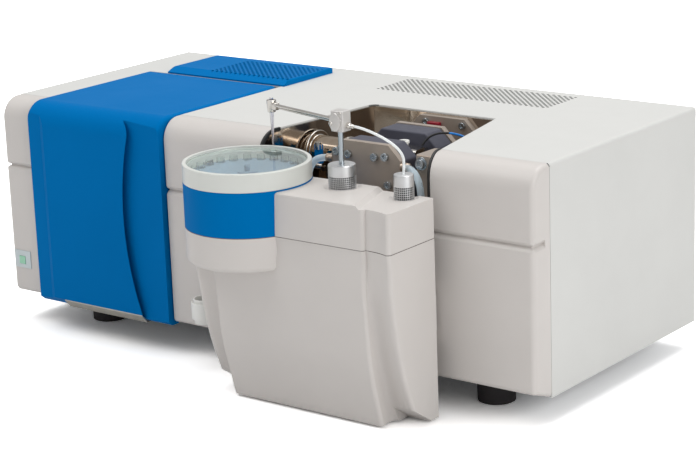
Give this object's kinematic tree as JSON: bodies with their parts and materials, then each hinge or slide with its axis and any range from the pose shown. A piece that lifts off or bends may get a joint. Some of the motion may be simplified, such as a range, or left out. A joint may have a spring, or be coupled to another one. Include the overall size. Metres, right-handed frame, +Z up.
{
  "type": "atomic absorption spectrometer",
  "caption": "Benchtop graphite-furnace atomic absorption spectrometer with a lift-up lamp door, an open furnace bay and a swing-out sampler with a dosing arm.",
  "frame": {"origin": "on the table, under the middle of the whole object's box", "axes": "+X to the right along the cabinet's length, +Y to the rear panel, +Z up"},
  "size_m": [0.85, 0.5478, 0.367],
  "materials": {
    "shell_grey": "fine textured warm grey moulding",
    "sheet_white": "powder coated off-white sheet",
    "door_blue": "satin blue paint",
    "polished_steel": "polished stainless sheet",
    "edging_black": "black edging",
    "rubber_black": "moulded rubber",
    "lip_silver": "satin",
    "label_blank": "blank plate",
    "lens_green": "translucent green",
    "plain_zinc": "zinc plated",
    "dark_parts": "black plastic",
    "bronze_metal": "warm nickel finish",
    "coil_dark": "dark blue-grey paint",
    "bright_metal": "polished",
    "aluminium": "turned and knurled",
    "graphite": "graphite",
    "port_white": "white",
    "red_plastic": "red",
    "clear_glass": "clear",
    "tray_blue": "blue-grey",
    "vial_clear": "clear vials",
    "needle_clear": "translucent tube",
    "tube_white": "translucent white tube",
    "board_green": "circuit board"
  },
  "bodies": {
    "cabinet": {"base_tray": "plain_zinc", "rubber_feet": "rubber_black", "rear_panel": "sheet_white", "main_cover": "sheet_white", "left_cover": "sheet_white", "front_moulding": "shell_grey", "left_moulding": "shell_grey", "rear_cover": "door_blue", "bay_liner": "polished_steel", "bay_edging": "edging_black", "indicator_plate": "label_blank", "indicator_lens": "lens_green", "rinse_cup": "port_white", "optical_bench": "aluminium", "turret_motor": "dark_parts", "monochromator": "aluminium", "power_supply": "plain_zinc", "furnace_transformer": "bronze_metal", "control_board": "board_green", "fan_frame": "dark_parts", "mains_inlet": "dark_parts", "service_fittings": "bright_metal", "magnet_front_plate": "bronze_metal", "magnet_front_coil": "coil_dark", "magnet_rear_coil": "coil_dark", "magnet_rear_plates": "bronze_metal", "plate_screws": "bright_metal", "red_terminal": "red_plastic", "furnace_stand": "bronze_metal", "furnace_contact": "bright_metal", "graphite_tube": "graphite", "dosing_port": "port_white", "window_tubes": "bright_metal", "side_block": "bronze_metal", "bay_lines": "tube_white", "sampler_hinge": "shell_grey"},
    "door": {"lamp_door": "door_blue", "door_lip": "lip_silver"},
    "turret": {"lamp_turret": "aluminium", "cathode_lamps": "vial_clear"},
    "clamp": {"furnace_clamp": "bright_metal"},
    "lever": {"clamp_lever": "door_blue"},
    "fan": {"fan_rotor": "dark_parts"},
    "rocker": {"power_rocker": "dark_parts"},
    "grating": {"grating": "bright_metal"},
    "sampler": {"sampler_body": "shell_grey", "sampler_cover": "shell_grey", "knurled_bosses": "aluminium", "bowl_band": "door_blue", "sampler_drives": "plain_zinc", "capillary_tube": "tube_white"},
    "lid": {"lid_ring": "shell_grey", "lid_glass": "clear_glass"},
    "tray": {"sample_tray": "tray_blue", "sample_vials": "vial_clear"},
    "carriage": {"lift_carriage": "aluminium"},
    "arm": {"arm_shaft": "bright_metal", "arm_block": "aluminium", "arm_rods": "bright_metal", "needle": "needle_clear"}
  },
  "joints": [
    {"name": "door_lift", "type": "hinge", "parent": "cabinet", "child": "door", "pos_m": [-0.247, 0.1049, 0.31], "axis": [-1, 0, 0], "range_deg": [0, 62]},
    {"name": "turret_turn", "type": "hinge", "parent": "cabinet", "child": "turret", "pos_m": [-0.33, -0.0301, 0.23], "axis": [1, 0, 0], "range_deg": [0, 300]},
    {"name": "clamp_open", "type": "slide", "parent": "cabinet", "child": "clamp", "axis": [1, 0, 0], "range_m": [0, 0.014]},
    {"name": "lever_turn", "type": "hinge", "parent": "cabinet", "child": "lever", "pos_m": [0.072, -0.0621, 0.264], "axis": [1, 0, 0], "range_deg": [0, 50]},
    {"name": "fan_spin", "type": "hinge", "parent": "cabinet", "child": "fan", "pos_m": [0.165, 0.2379, 0.183], "axis": [0, 1, 0], "continuous": true},
    {"name": "rocker_tilt", "type": "hinge", "parent": "cabinet", "child": "rocker", "pos_m": [0.3295, 0.2529, 0.087], "axis": [1, 0, 0], "range_deg": [-7, 7]},
    {"name": "grating_turn", "type": "hinge", "parent": "cabinet", "child": "grating", "pos_m": [0.34, 0.0559, 0.15], "axis": [0, 0, 1], "range_deg": [-25, 25]},
    {"name": "sampler_swing", "type": "hinge", "parent": "cabinet", "child": "sampler", "pos_m": [0.288, -0.1346, 0.14], "axis": [0, 0, 1], "range_deg": [0, 65]},
    {"name": "lid_lift", "type": "slide", "parent": "sampler", "child": "lid", "axis": [0, 0, 1], "range_m": [0, 0.018]},
    {"name": "tray_turn", "type": "hinge", "parent": "sampler", "child": "tray", "pos_m": [0.068, -0.1961, 0.25], "axis": [0, 0, 1], "continuous": true},
    {"name": "arm_lift", "type": "slide", "parent": "sampler", "child": "carriage", "axis": [0, 0, 1], "range_m": [-0.026, 0.008], "deforming": ["capillary_tube"]},
    {"name": "arm_swing", "type": "hinge", "parent": "carriage", "child": "arm", "pos_m": [0.188, -0.1661, 0.3], "axis": [0, 0, 1], "range_deg": [-72.06, 0]}
  ],
  "couplings": [
    {"joint": "lever_turn", "follows": "clamp_open", "rad_per_m": 62.3}
  ]
}
